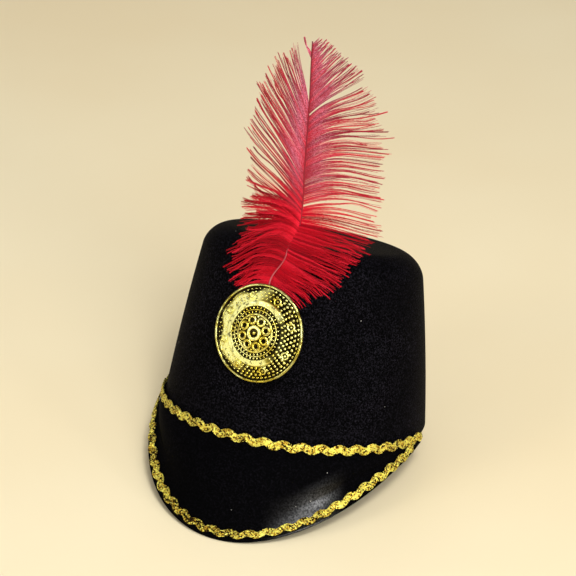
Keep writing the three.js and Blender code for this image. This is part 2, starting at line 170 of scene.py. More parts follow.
# Rows of points, closed round, joined one to the next. A row of one point is a pole.
def rowsMesh(rows, stripEnds=False):
    starts = np.cumsum([0] + [len(row) for row in rows])
    faces = []
    for k in range(len(rows) - 1):
        a, b = int(starts[k]), int(starts[k + 1])
        na, nb = len(rows[k]), len(rows[k + 1])
        count = max(na, nb)
        for i in range(count):
            j = (i + 1) % count
            corners = [a + i % na, a + j % na, b + j % nb, b + i % nb]
            faces.append([c for n, c in enumerate(corners) if c not in corners[:n]])
    if stripEnds:
        half = len(rows[0]) // 2
        last = int(starts[-2])
        for i in range(half - 1):
            p, q, r, s = i, i + 1, 2 * half - 2 - i, 2 * half - 1 - i
            faces.append([q, p, s, r])
            faces.append([last + p, last + q, last + r, last + s])
    return np.concatenate([np.asarray(row, float).reshape(-1, 3) for row in rows]), faces


def turnOut(piece):
    mesh = piece.data
    corners = np.array([v.co for v in mesh.vertices])
    mesh.calc_loop_triangles()
    tris = np.array([t.vertices for t in mesh.loop_triangles])
    a, b, c = (corners[tris[:, n]] for n in range(3))
    if np.einsum("ij,ij->i", a, np.cross(b, c)).sum() < 0:
        mesh.flip_normals()


def setAttribute(mesh, name, values, kind="FLOAT"):
    attribute = mesh.attributes.new(name, kind, "POINT")
    field = "vector" if kind == "FLOAT_VECTOR" else "value"
    attribute.data.foreach_set(field, np.asarray(values, np.float32).ravel())


# A geometry tree runs once on a carrier mesh, and its result becomes a plain mesh
class Maker(Graph):
    def __init__(self, name, inputs):
        super().__init__(bpy.data.node_groups.new(name, "GeometryNodeTree"))
        interface = self.tree.interface
        interface.new_socket("Geometry", in_out="INPUT", socket_type="NodeSocketGeometry")
        self.sizes = {}
        for label, kind in inputs.items():
            self.sizes[label] = interface.new_socket(label, in_out="INPUT", socket_type=kind)
        interface.new_socket("Geometry", in_out="OUTPUT", socket_type="NodeSocketGeometry")
        self.start = self.tree.nodes.new("NodeGroupInput")
        self.end = self.tree.nodes.new("NodeGroupOutput")

    def given(self, label="Geometry"):
        return Socket(self, self.start.outputs[label])

    def named(self, name, kind="FLOAT"):
        return self.node("GeometryNodeInputNamedAttribute", {"data_type": kind}, {"Name": name})

    def close(self, geometry, material):
        real = self.node("GeometryNodeRealizeInstances", None, {"Geometry": geometry})
        done = self.node("GeometryNodeSetMaterial", None, {"Geometry": real, "Material": material})
        self.tree.links.new(done.socket, self.end.inputs[0])

    def run(self, name, points, edges, attributes, values, smooth=True, placing=None):
        carrier = bpy.data.meshes.new(name + "Carrier")
        carrier.from_pydata(np.asarray(points).tolist(), edges, [])
        for label, (kind, data) in attributes.items():
            setAttribute(carrier, label, data, kind)
        holder = bpy.data.objects.new(name + "Carrier", carrier)
        bpy.context.collection.objects.link(holder)
        modifier = holder.modifiers.new("make", "NODES")
        modifier.node_group = self.tree
        for label, value in values.items():
            modifier[self.sizes[label].identifier] = value
        graph = bpy.context.evaluated_depsgraph_get()
        mesh = bpy.data.meshes.new_from_object(holder.evaluated_get(graph))
        bpy.data.objects.remove(holder)
        mesh.name = name
        if placing is not None:
            mesh.transform(placing)
        if smooth:
            mesh.shade_smooth()
        piece = bpy.data.objects.new(name, mesh)
        bpy.context.collection.objects.link(piece)
        return piece


# Black flocked felt
def velvetFinish(name, light, highlightPatch=False):
    velvet = {
        "dark": (0.0012, 0.0012, 0.0014), "light": (0.021 * light, 0.019 * light, 0.027 * light),
        "pileScale": 820, "pileDepth": 0.0009, "cloudScale": 24, "roughness": 0.5,
        "lint": (0.5, 0.48, 0.45), "lintScale": 150, "lintSize": 0.05, "lintShare": 0.12,
        "lintCover": 0.8, "gloss": 0.34, "glossIor": 1.9, "sheen": (0.78, 0.74, 1.0),
    }
    f = Finish(name)
    pile = f.noise(velvet["pileScale"], 3.0, 0.65)
    cloud = f.noise(velvet["cloudScale"], 3.0)
    nap = f.range(pile, 0.48, 0.74) * f.range(cloud, 0.3, 0.7, 0.4, 1.0)
    felt = f.mix(nap, rgb(*velvet["dark"]), rgb(*velvet["light"]))
    away, pick = f.grains(velvet["lintScale"])
    lint = (away < velvet["lintSize"]) * (pick > 1 - velvet["lintShare"])
    colour = f.mix(lint * velvet["lintCover"], felt, rgb(*velvet["lint"]))
    normal = f.bump(pile, 0.7, velvet["pileDepth"])
    coat = {}
    if highlightPatch:  # a patch of coat gloss set only where the highlight falls: a painted highlight
        grain = f.range(pile, 0.38, 0.62, 0.2, 1.0)
        coat = {"Coat_Weight": f.attribute("pressed") * grain,
                "Coat_Roughness": velvet["gloss"], "Coat_IOR": velvet["glossIor"]}
    return f.surface(
        Base_Color=colour, Roughness=velvet["roughness"], Normal=normal,
        Specular_IOR_Level=0.003, Sheen_Weight=0.004, Sheen_Roughness=0.3,
        Sheen_Tint=rgb(*velvet["sheen"]), **coat)


velvetLook = velvetFinish("crownVelvet", 1.0)
# The peak is the crown's felt with its lighter nap colour cut to 0.3: painted shade
peakLook = velvetFinish("peakVelvet", 0.3, highlightPatch=True)


# Crown
def crownSection(level):
    h = hat["height"]
    bulge = 4 * hat["bulge"] * level * (h - level) / h ** 2
    return (
        hat["rimHalfWidth"] - level * tanDeg(hat["leanSide"]) + bulge,
        hat["rimHalfLength"] - level * tanDeg(hat["leanFront"]) + bulge,
        hat["rimHalfLength"] - level * tanDeg(hat["leanBack"]) + bulge,
    )


def crownRing(turns, level, inset, drop=0.0):
    side, front, back = crownSection(level)
    depth = np.where(np.cos(turns) > 0, front, back)
    y = -(depth - inset) * np.cos(turns)
    slope = min(level / (hat["height"] - hat["topRound"]), 1) * tanDeg(hat["topSlope"])
    return np.stack([(side - inset) * np.sin(turns), y, level - slope * y - drop], -1)


def crownRadius(angle, height, off):
    shoulder, level = hat["height"] - hat["topRound"], height
    for _ in range(4):
        _, front, back = crownSection(level)
        forward = np.cos(angle) * np.where(np.cos(angle) > 0, front, back)
        level = height / (1 + tanDeg(hat["topSlope"]) * forward / shoulder)
    side, front, back = crownSection(level)
    depth = np.where(np.cos(angle) > 0, front, back)
    return 1 / np.hypot(np.sin(angle) / (side + off), np.cos(angle) / (depth + off))


def makeCrown():
    crown = {"sides": 192, "wallRows": 20, "roundRows": 14, "topRows": 10, "lip": 5}
    turns = np.linspace(0, 2 * math.pi, crown["sides"], endpoint=False)
    shoulder = hat["height"] - hat["topRound"]
    half = hat["wall"] / 2

    def shell(inset, low):
        bend = hat["topRound"] - inset
        rows = [crownRing(turns, level, inset)
                for level in np.linspace(low, shoulder, crown["wallRows"])]
        for a in np.linspace(0, math.pi / 2, crown["roundRows"] + 1)[1:]:
            rows.append(crownRing(turns, shoulder + bend * math.sin(a),
                                  inset + bend * (1 - math.cos(a))))
        rim = rows[-1]
        middle = np.array([0, 0, hat["height"] - inset])
        for share in np.linspace(1, 0, crown["topRows"] + 1)[1:-1]:
            rows.append(middle + (rim - middle) * share)
        return rows + [middle.reshape(1, 3)]

    lip = []
    for a in np.linspace(0, math.pi, crown["lip"] + 2)[1:-1]:
        lip.append(crownRing(turns, half, half + half * math.cos(a), half * math.sin(a)))
    points, faces = rowsMesh(shell(hat["wall"], half)[::-1] + lip + shell(0.0, half))
    piece = pieceFrom("crownFelt", rowPoints(points), faces, velvetLook)
    turnOut(piece)
    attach(piece, "root")
    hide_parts("crown")
    print("crown made")


makeCrown()

# Peak
peak = {
    "reach": 129.0, "drop": 57.0, "wall": 2.0, "sideMargin": 3.0, "endDrop": 3.4, "arch": 6.0,
    "flange": 9.0, "flangeDip": 30.0, "sideDip": 66.0, "neckWall": 1.2, "domeStart": 36.0,
    "domeEnd": 78.0, "fullness": 0.36, "fillet": 10.0, "columns": 260, "domeRows": 26,
    "filletRows": 10, "filletShare": 0.35, "filletAhead": 2.6, "fullSpan": 20.0,
    "pressed": (3.0, 24.0),  # how far from the fold the painted highlight gloss is full, to where it is gone
    "shineOn": (12, 36), "shineOff": (30, 44),  # degrees from the front to the right
}
braid = {
    "strip": 5.0, "thickness": 1.2, "swing": 1.2, "wave": 12.5, "frontHeight": 6.0,
    "endHeight": 2.0, "crownEnd": 91.0, "peakEnd": 76.0, "margin": 1.3,
    "strands": 7, "stepsPerWave": 25, "twist": 2.4, "seat": 0.45, "spread": 4.8,
    "strandHalf": 0.46, "strandFlat": 0.72, "strandDeep": 0.42, "lap": 0.192, "lapEvery": 2.1,
    "lapTurn": 2.4, "tuck": 9.0, "backTop": 0.8, "backInset": 0.2, "backEvery": 3,
}
bandHalf = braid["strip"] / 2 + braid["swing"]
neckReach = hat["fitGap"] + peak["neckWall"]


def smooth(value, low, high):
    share = np.clip((value - low) / (high - low), 0, 1)
    return share * share * (3 - 2 * share)


def between(value, rise, fall):
    return smooth(value, *rise) * (1 - smooth(value, *fall))


def braidHeight(angle):
    share = np.minimum(1, np.abs(angle) / math.radians(braid["crownEnd"]))
    rise = np.cos(share * math.pi / 2)
    return braid["endHeight"] + (braid["frontHeight"] - braid["endHeight"]) * rise


def heading(dip):
    return np.stack([np.cos(dip), -np.sin(dip)], -1)


# The peak's section towards each angle: radius and height of its neck, edge and fold, then the
# directions in from the edge and out of the flange
def peakSection(angle):
    neckZ = braidHeight(angle) - bandHalf - hat["fitGap"]
    neck = np.stack([crownRadius(angle, neckZ, neckReach), neckZ], -1)
    halfWidth = hat["rimHalfWidth"] + peak["sideMargin"]
    edgeR = 1 / np.hypot(np.sin(angle) / halfWidth, np.cos(angle) / peak["reach"])
    ahead = np.maximum(0, edgeR * np.cos(angle) / peak["reach"])
    fall = peak["endDrop"] + (peak["drop"] - peak["endDrop"]) * ahead
    edge = np.stack([edgeR, 4 * peak["arch"] * ahead * (1 - ahead) - fall], -1)
    chord = edge - neck
    length = np.hypot(chord[:, 0], chord[:, 1])
    chordDip = np.arctan2(-chord[:, 1], chord[:, 0])
    sideDip = np.maximum(chordDip, math.radians(peak["sideDip"]))
    dip = sideDip + (math.radians(peak["flangeDip"]) - sideDip) * smooth(np.cos(angle), 0.3, 0.92)
    inward = -heading(dip)
    fold = edge + np.minimum(peak["flange"], 0.9 * length)[:, None] * inward
    return neck, edge, fold, inward, np.stack([np.sin(dip), np.cos(dip)], -1)


def polarPoints(angle, radius, height):
    return np.stack([radius * np.sin(angle), -radius * np.cos(angle), height], -1)


def bezier(stops, t):
    a, b, c, d = stops
    return (1 - t) ** 3 * a + 3 * (1 - t) ** 2 * t * b + 3 * (1 - t) * t * t * c + t ** 3 * d


def makePeak():
    angle = np.linspace(-math.pi / 2, math.pi / 2, peak["columns"] + 1)
    neck, edge, fold, inward, _ = peakSection(angle)
    chord = fold - neck
    span = np.hypot(chord[:, 0], chord[:, 1])
    dip = np.arctan2(-chord[:, 1], chord[:, 0])
    full = smooth(span, 0, peak["fullSpan"])
    leave = dip + (math.radians(peak["domeStart"]) - dip) * full
    arrive = dip + (math.radians(peak["domeEnd"]) - dip) * full
    pull = (peak["fullness"] * span)[:, None]
    stops = neck, neck + pull * heading(leave), fold - pull * heading(arrive), fold
    soft = np.minimum(peak["fillet"], peak["filletShare"] * span)[:, None]
    softStart = fold - soft * heading(arrive)
    softEnd = fold - np.minimum(soft, peak["filletAhead"]) * inward
    dome = [bezier(stops, t) for t in np.linspace(0, 1, peak["domeRows"] + 1)]
    reach = np.hypot(*(softStart - fold).T)
    kept = [row for row in dome if (np.hypot(*(row - fold).T) > reach * 1.05).all()]
    corner = [(1 - t) ** 2 * softStart + 2 * t * (1 - t) * fold + t * t * softEnd
              for t in np.linspace(0, 1, peak["filletRows"] + 1)]
    outside = kept + corner + [softEnd + (edge - softEnd) * t for t in (0.35, 0.7, 1.0)]
    outside = np.stack(outside, 1)
    along = np.gradient(outside, axis=1)
    along /= np.linalg.norm(along, axis=-1, keepdims=True)
    inside = outside + np.stack([along[..., 1], -along[..., 0]], -1) * peak["wall"]
    inside[:, 0] = np.stack([crownRadius(angle, neck[:, 1], hat["fitGap"]),
                             neck[:, 1] - peak["neckWall"]], -1)
    top = braidHeight(angle)
    outer = np.stack([crownRadius(angle, top, neckReach), top], -1)[:, None]
    inner = np.stack([crownRadius(angle, top, hat["fitGap"]), top], -1)[:, None]
    # The free edge is rounded over half the wall
    upper, under, half = outside[:, -1:], inside[:, -1:], along[:, -1:] * peak["wall"] / 2
    middle = (upper + under) / 2
    above, below = (0.85 * side + 0.15 * middle - 0.45 * half for side in (upper, under))
    ring = np.concatenate([
        outer, outside[:, :-1], upper - half, above, middle, middle + 0.08 * (under - upper),
        below, under - half, inside[:, :-1][:, ::-1], inner], 1)
    columns = [polarPoints(angle[i], ring[i, :, 0], ring[i, :, 1]) for i in range(len(angle))]
    points, faces = rowsMesh(columns, True)
    piece = pieceFrom("peakFelt", rowPoints(points), faces, peakLook)
    away = np.linalg.norm(ring - fold[:, None], axis=-1)
    # The coat gloss is painted on only at the front right, where the highlight falls: a painted
    # highlight
    shine = between(np.degrees(angle)[:, None], peak["shineOn"], peak["shineOff"])
    setAttribute(piece.data, "pressed", shine * (1 - smooth(away, *peak["pressed"])))
    turnOut(piece)
    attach(piece, "root")
    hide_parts("peak")
    print("peak made")


makePeak()


# Woven metal braid
def braidFinish():
    gold = {
        "dark": (0.04, 0.018, 0.003), "mid": (0.68, 0.45, 0.04), "bright": (1.0, 0.92, 0.20),
        "glintScale": 1000, "patchScale": 130, "broadScale": 22,
    }
    f = Finish("goldBraid")
    _, tint = f.grains(gold["glintScale"])
    patch = f.noise(gold["patchScale"], 3.0, 0.6)
    broad = f.range(f.noise(gold["broadScale"], 1.0), 0.35, 0.65, -0.13, 0.15)
    tone = tint * 0.7 + patch * 0.6 + broad
    colour = f.ramp(tone, [
        (0.46, gold["dark"]), (0.58, gold["mid"]), (0.64, gold["mid"]), (0.77, gold["bright"])])
    rough = f.range(tint, 0.0, 1.0, 0.2, 0.42)
    normal = f.bump(tint, 0.9, 0.0006)
    return f.surface(Base_Color=colour, Metallic=0.9, Roughness=rough, Normal=normal)


braidLook = braidFinish()


def strandMaker():
    m = Maker("braidStrands", {
        "Thickness": "NodeSocketFloat", "Flatness": "NodeSocketFloat", "Turns": "NodeSocketFloat"})
    curve = m.node("GeometryNodeMeshToCurve", None, {"Mesh": m.given()})
    length = m.node("GeometryNodeSplineParameter", out="Length")
    twisted = m.node("GeometryNodeSetCurveTilt", None, {
        "Curve": curve, "Tilt": length * m.given("Turns")})
    circle = m.node("GeometryNodeCurvePrimitiveCircle", None, {
        "Resolution": 6, "Radius": m.given("Thickness")})
    flat = m.node("ShaderNodeCombineXYZ", None, {"X": 1.0, "Y": m.given("Flatness"), "Z": 1.0})
    oval = m.node("GeometryNodeTransform", None, {"Geometry": circle, "Scale": flat})
    tube = m.node("GeometryNodeCurveToMesh", None, {
        "Curve": twisted, "Profile Curve": oval, "Fill Caps": True})
    m.close(tube, braidLook)
    return m


strands = strandMaker()


def makeBraid(name, node, halfLength, place, extra=0.0):
    waves = int(2 * halfLength / braid["wave"])
    halfEnd = halfLength + extra
    steps = int(waves * braid["stepsPerWave"] * halfEnd / halfLength)
    along = np.linspace(-halfEnd, halfEnd, steps + 1)
    phase = (along + halfLength) / (2 * halfLength) * waves * 2 * math.pi
    slope = braid["swing"] * np.cos(phase) * math.pi * waves / halfLength
    bend = np.hypot(1, slope)
    lines = []
    for k, side in enumerate(np.linspace(-0.5, 0.5, braid["strands"]) * braid["spread"]):
        lap = np.sin(along * 2 * math.pi / braid["lapEvery"] + k * braid["lapTurn"])
        square = side / bend
        lines.append(place(
            along - slope * square, braid["swing"] * np.sin(phase) + square,
            braid["thickness"] - braid["strandDeep"] + braid["lap"] * lap))
    points = rowPoints(np.concatenate(lines))
    edges = [(i, i + 1) for i in range(len(points)) if (i + 1) % len(along)]
    values = {"Thickness": braid["strandHalf"] / 1000, "Flatness": braid["strandFlat"],
              "Turns": 2 * math.pi / (braid["twist"] / 1000)}
    piece = strands.run(name, points, edges, {}, values)
    base = []
    for i in range(0, len(along), braid["backEvery"]):
        a, s, b = along[i], slope[i], bend[i]
        centre = braid["swing"] * math.sin(phase[i])
        row = []
        for side, off in ((-1, braid["backTop"]), (1, braid["backTop"]), (1, 0.0), (-1, 0.0)):
            square = side * (braid["strip"] / 2 - braid["backInset"]) / b
            row.append(place(np.array([a - s * square]), np.array([centre + square]), off)[0])
        base.append(row)
    points, faces = rowsMesh(base, True)
    backing = pieceFrom(name + "Backing", rowPoints(points), faces, braidLook)
    turnOut(backing)
    for each in (piece, backing):
        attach(each, "root")
    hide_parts(node)
    print(name, "made", len(piece.data.polygons))


rimMean = (hat["rimHalfWidth"] + hat["rimHalfLength"]) / 2


def crownBraidPlace(along, across, off):
    angle = along / rimMean
    height = braidHeight(angle) + across
    return polarPoints(angle, crownRadius(angle, height, neckReach + hat["fitGap"] + off), height)


def peakBraidPlacer():
    angles = np.linspace(0, math.radians(89.5), 900)
    edge = peakSection(angles)[1]
    path = polarPoints(angles, edge[:, 0], edge[:, 1])
    steps = np.linalg.norm(np.diff(path, axis=0), axis=1)
    lengths = np.concatenate([[0], np.cumsum(steps)])

    def place(along, across, off):
        angle = np.sign(along) * np.interp(np.abs(along), lengths, angles)
        _, edgeAt, _, inward, lift = peakSection(angle)
        inset = np.asarray(braid["margin"] + bandHalf + across)[..., None]
        spot = edgeAt + inward * inset + lift * np.reshape(braid["seat"] + off, (-1, 1))
        return polarPoints(angle, spot[:, 0], spot[:, 1])

    return place, float(np.interp(math.radians(braid["peakEnd"]), angles, lengths)), lengths[-1]


crownHalf = math.radians(braid["crownEnd"]) * rimMean
makeBraid("crownBraidStrands", "crown_braid", crownHalf, crownBraidPlace)
peakBraidPlace, peakBraidHalf, peakEdgeHalf = peakBraidPlacer()
makeBraid("peakBraidStrands", "peak_braid", peakBraidHalf, peakBraidPlace,
          min(braid["tuck"], peakEdgeHalf - peakBraidHalf - 2))

# Badge, on its own axis in millimetres: +Z is straight out of its face
badge = {
    "radius": 33.5, "height": 78.0, "offset": 1.5, "stand": 4.3, "tilt": 2.0, "yaw": -7.5,
    "rim": 2.4, "rimSteps": 9, "dome": 7.0, "sheet": 1.3, "boss": 5.0, "sides": 132,
    "field": 0.9, "backRows": 12, "backShade": 0.6, "loopSides": 20, "wireSides": 8,
}
badgeRings = [  # share of the radius, height above the dome, how bright it is painted: low is painted shade, above 1 painted highlight
    (0.9, 0.0, 0.15), (0.69, 0.0, 0.15), (0.67, 0.25, 0.7), (0.655, 0.75, 1), (0.64, 0.85, 1),
    (0.6, 0.7, 1), (0.57, 0.85, 1), (0.555, 0.75, 1), (0.545, 0.1, 0.3), (0.535, 0.0, 0.1),
    (0.485, 0.0, 0.1), (0.48, 0.4, 0.9), (0.465, 0.4, 0.9), (0.46, 0.0, 0.1),
    (0.405, 0.0, 0.1), (0.395, 0.4, 0.8), (0.38, 0.5, 1), (0.37, 0.4, 0.9), (0.36, 0.1, 0.3),
    (0.35, 0.0, 0.12), (0.165, 0.0, 0.12), (0.155, 0.6, 1), (0.14, 0.95, 1.4),
    (0.105, 0.95, 1.4), (0.092, 0.8, 1), (0.084, 0.05, 0.05), (0.036, 0.05, 0.05),
    (0.03, 0.4, 0.8), (0.015, 0.55, 1.2),
]
badgeBeads = [  # share of the radius, count, size along and across the radius, height, part turn
    (0.9, 60, 0.95, 1.2, 0.85, 0.0), (0.835, 52, 1.15, 1.15, 0.9, 0.5),
    (0.77, 48, 1.1, 1.1, 0.85, 0.0), (0.705, 44, 1.0, 1.05, 0.8, 0.5),
    (0.51, 40, 0.85, 0.6, 0.6, 0.0), (0.432, 34, 0.9, 0.6, 0.6, 0.5),
    (0.338, 8, 0.8, 0.8, 0.7, 0.0), (0.65, 40, 1.0, 1.0, 0.8, 0.0),
    (0.59, 36, 1.0, 1.0, 0.8, 0.5),
]
badgeRosettes = [  # share of the radius, count, part turn, ring, wire, dot, clear space
    (0.77, 8, 0.5, 2.15, 0.6, 0.95, 3.2), (0.268, 8, 0.5, 2.45, 0.95, 0.0, 2.6),
]
badgeGlare = {  # where the stamping is shallow, with painted glare: pale and less metallic, in degrees and shares of the radius
    "rise": (70, 106), "fall": (232, 268), "inner": (0.55, 0.6), "outer": 0.86, "soft": 0.04,
    "bright": 1.5, "beadsSmaller": 0.5, "beadsFrom": 0.56,
}
# Its high ridges get a pale painted highlight; the field among its beads gets painted shade
badgeBand = {  # the smooth band, which gives way to beads around an angle, in degrees
    "inner": 0.55, "outer": 0.68, "beadsAt": -4.0, "beadsFade": (0.55, 0.85), "bright": 1.35,
    "beadFieldShade": 0.85,
}


def giltFinish():
    gilt = {
        "deep": (0.012, 0.008, 0.001), "gold": (0.66, 0.53, 0.06), "pale": (0.98, 0.96, 0.36),
        "patchScale": 75, "dentScale": 90, "pitScale": 420, "speckScale": 330,
    }
    f = Finish("giltBadge")
    # bright: below 1 goes towards near black, painted shade in recesses; above 1 pale and less
    # metallic, painted highlight and glare
    bright = f.attribute("bright")
    patch = f.noise(gilt["patchScale"], 3.0, 0.55)
    gold = f.mix(f.range(patch, 0.4, 0.6), rgb(*gilt["gold"]), rgb(*gilt["pale"]))
    gold = f.mix(f.range(bright, 1.0, 1.5), gold, rgb(*gilt["pale"]))
    # Dark specks break up the pale painted glare
    speck = f.range(f.noise(gilt["speckScale"], 2.0, 0.6), 0.37, 0.43, 0.75, 0.0)
    clean = 1 - f.range(bright, 1.0, 1.3) * speck
    colour = f.mix(f.range(bright, 0.15, 0.9) * clean, rgb(*gilt["deep"]), gold)
    rough = f.range(patch, 0.3, 0.7, 0.14, 0.3)
    dents = f.bump(f.noise(gilt["dentScale"]), 1.0, 0.003)
    normal = f.bump(f.noise(gilt["pitScale"]), 0.18, 0.0003, dents)
    metal = f.range(bright, 1.0, 1.4, 0.95, 0.2)
    return f.surface(Base_Color=colour, Metallic=metal, Roughness=rough, Normal=normal)


giltLook = giltFinish()


def domeHeight(share):
    return 1 + badge["dome"] * (1 - (share / badge["field"]) ** 2)


plume = {  # up here, because the badge leans as the wall behind the plume's foot does
    "length": 196.0, "reach": 52.0, "sway": 15.4, "foot": 88.0, "quill": 1.25, "curl": 10.8,
    "straight": 30.0, "bend": 60.0, "forward": -6.0, "sides": 8, "steps": 90, "end": 0.985,
    "thick": [(0, 0.3, 0.4, 1), (0.54, 0.52, 0.55, 0.45)],
    "lift": [(0, 0.08, 0.22, 0.34), (0, 1.4, 1.4, 0)],
}
wallAt, wallAbove = crownRadius(
    0.0, plume["foot"] + np.array([0, plume["straight"]]), hat["fitGap"] + plume["quill"])
wallLean = math.atan2(wallAt - wallAbove, plume["straight"])


def badgeMatrix():
    lean = Matrix.Rotation(-(wallLean + math.radians(badge["tilt"])), 3, "X")
    outward = Matrix.Rotation(math.radians(badge["yaw"]), 3, "Z") @ lean @ Vector((0, -1, 0))
    across = Vector((0, 0, 1)).cross(outward).normalized()
    turned = Matrix((across, outward.cross(across), outward)).transposed().to_4x4()
    seat = Vector((badge["offset"], -float(crownRadius(0.0, badge["height"], 0)), badge["height"]))
    return toRow @ Matrix.Translation(seat + outward * badge["stand"]) @ turned


badgePlace = badgeMatrix()


def beadMaker():
    m = Maker("badgeBeads", {"Wide": "NodeSocketFloat"})
    ball = m.node("GeometryNodeMeshUVSphere", None, {
        "Segments": 8, "Rings": 5, "Radius": m.given("Wide")})
    turn = m.node("ShaderNodeCombineXYZ", None, {"Z": m.named("turn")})
    many = m.node("GeometryNodeInstanceOnPoints", None, {
        "Points": m.given(), "Instance": ball, "Rotation": turn,
        "Scale": m.named("size", "FLOAT_VECTOR")})
    m.close(many, giltLook)
    return m


# Where the painted glare and the shallow stamping lie, by angle round the badge
def glare(angle):
    return between(np.degrees(angle) % 360, badgeGlare["rise"], badgeGlare["fall"])


def beaded(angle, at):
    on = smooth(np.cos(angle - math.radians(badgeBand["beadsAt"])), *badgeBand["beadsFade"])
    return on * (badgeBand["inner"] - 0.01 < at) * (at < badgeBand["outer"])


def makeBadge():
    radius = badge["radius"]
    turns = np.linspace(0, 2 * math.pi, badge["sides"], endpoint=False)

    def ring(at, z):
        return np.stack([at * np.cos(turns), at * np.sin(turns), np.full_like(turns, z)], -1)

    # Rings from the foot of the boss over the back and the rim to the middle of the face:
    # share of the radius, height, how bright it is painted there (painted shade and highlight)
    foot = -(badge["stand"] - hat["fitGap"] - 0.2)
    boss, plain, rim = badge["boss"] / radius, badge["backShade"], badge["rim"]
    rings = [(boss, foot, plain), (boss, domeHeight(boss) - badge["sheet"], plain)]
    for at in np.linspace(0.2, badge["field"], badge["backRows"]):
        rings.append((at, domeHeight(at) - badge["sheet"], plain))
    rings += [(0.93, 0, 0.7), (0.975, 0, 0.8)]
    # The rim is painted darker on its outer side and lighter on top: painted shade and highlight
    for a in np.linspace(-math.pi / 2, math.pi / 2, badge["rimSteps"]):
        rings.append((1 - rim / 2 * (1 - math.cos(a)) / radius, rim / 2 * (1 + math.sin(a)),
                      0.26 + 0.38 * smooth(a, 0.0, 1.0)))
    rings += [(0.955, rim - 0.1, 0.6), (0.948, rim - 0.6, 0.1), (0.935, rim - 1.0, 0.1)]
    fine = []
    for start, end in zip(np.array(badgeRings[:-1]), np.array(badgeRings[1:])):
        for t in np.linspace(0, 1, 2 + int((start[0] - end[0]) * 30), endpoint=False):
            fine.append(start + (end - start) * t)
    for at, lift, shade in fine + badgeRings[-1:]:
        rings.append((at, domeHeight(at) + lift * (1 - beaded(turns, at)), shade))
    rows = [ring(at * radius, z) for at, z, _ in rings]
    middle = [[0, 0, domeHeight(0) + badgeRings[-1][1]]]
    points, faces = rowsMesh([[[0, 0, foot]], *rows, middle])
    disc = pieceFrom("badgeDisc", points, faces, giltLook)
    shades = [plain, *np.repeat([shade for _, _, shade in rings], len(turns)), 1.0]

    spread = np.hypot(points[:, 0], points[:, 1]) / radius
    bearing = np.arctan2(points[:, 1], points[:, 0])
    # Painted glare: a pale patch with a wavy outer edge round the left of the face
    edge = badgeGlare["outer"] + 0.04 * np.sin(5 * bearing + 1) + 0.03 * np.sin(9 * bearing)
    outer = edge - badgeGlare["soft"], edge + badgeGlare["soft"]
    lit = badgeGlare["bright"] * glare(bearing) * between(spread, badgeGlare["inner"], outer)
    inBand = (spread > badgeBand["inner"]) & (spread < badgeBand["outer"])
    # Painted highlight on the band's ridges, painted shade on the field among its beads
    shades = np.where(inBand & (np.array(shades) > 0.9), badgeBand["bright"], shades)
    shades = shades * (1 - badgeBand["beadFieldShade"] * beaded(bearing, spread))
    setAttribute(disc.data, "bright", np.maximum(shades, lit))

    spots, turned, sizes, loops = [], [], [], []

    def around(at, angle):
        return np.array([math.cos(angle), math.sin(angle)]) * at * radius

    def bead(at, angle, long, wide, tall):
        lit = float(glare(angle)) * (at > badgeGlare["beadsFrom"])
        low = 1 - badgeGlare["beadsSmaller"] * lit
        spots.append((*around(at, angle), domeHeight(at)))
        turned.append(angle)
        sizes.append((long * low, wide * low, tall * low))

    marks = []
    for at, count, part, loop, wire, dot, clear in badgeRosettes:
        for i in range(count):
            angle = 2 * math.pi * (i + part) / count
            marks.append((around(at, angle), clear))
            loops.append((around(at, angle), loop, wire))
            if dot:
                bead(at, angle, dot, dot, 0.9)
    for at, count, long, wide, tall, part in badgeBeads:
        for i in range(count):
            angle = 2 * math.pi * (i + part) / count
            if badgeBand["inner"] < at < badgeBand["outer"] and beaded(angle, at) < 0.5:
                continue
            if all(np.linalg.norm(around(at, angle) - mark) > clear for mark, clear in marks):
                bead(at, angle, long, wide, tall)
    beads = beadMaker().run("badgeBeadRows", spots, [], {
        "turn": ("FLOAT", turned), "size": ("FLOAT_VECTOR", sizes)}, {"Wide": 1.0},
        placing=badgePlace)

    points, faces = [], []
    sides, wires = badge["loopSides"], badge["wireSides"]
    for centre, loop, wire in loops:
        first = len(points)
        for i, k in np.ndindex(sides, wires):
            a, b = 2 * math.pi * i / sides, 2 * math.pi * k / wires
            out = loop + wire * math.cos(b)
            x, y = centre[0] + out * math.cos(a), centre[1] + out * math.sin(a)
            rise = domeHeight(math.hypot(x, y) / radius) + 0.25
            points.append((x, y, rise + wire * math.sin(b)))
            faces.append([first + (i + di) % sides * wires + (k + dk) % wires
                          for di, dk in ((0, 0), (0, 1), (1, 1), (1, 0))])
    rosettes = pieceFrom("badgeRosettes", points, faces, giltLook)
    for each in (disc, rosettes):
        turnOut(each)
        each.data.transform(badgePlace)
    for each in (beads, rosettes):
        setAttribute(each.data, "bright", np.ones(len(each.data.vertices)))
    for each in (disc, beads, rosettes):
        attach(each, "root")
    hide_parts("badge")
    print("badge made", len(beads.data.polygons))


makeBadge()

# Plume: where the quill runs, as shares of its length and of its sideways sway
quillLine = [(0.0, -0.55), (0.13, 0.07), (0.235, 0.58), (0.36, 0.98), (0.43, 1.0), (0.56, 0.95),
             (0.7, 0.94), (1.0, 0.84)]
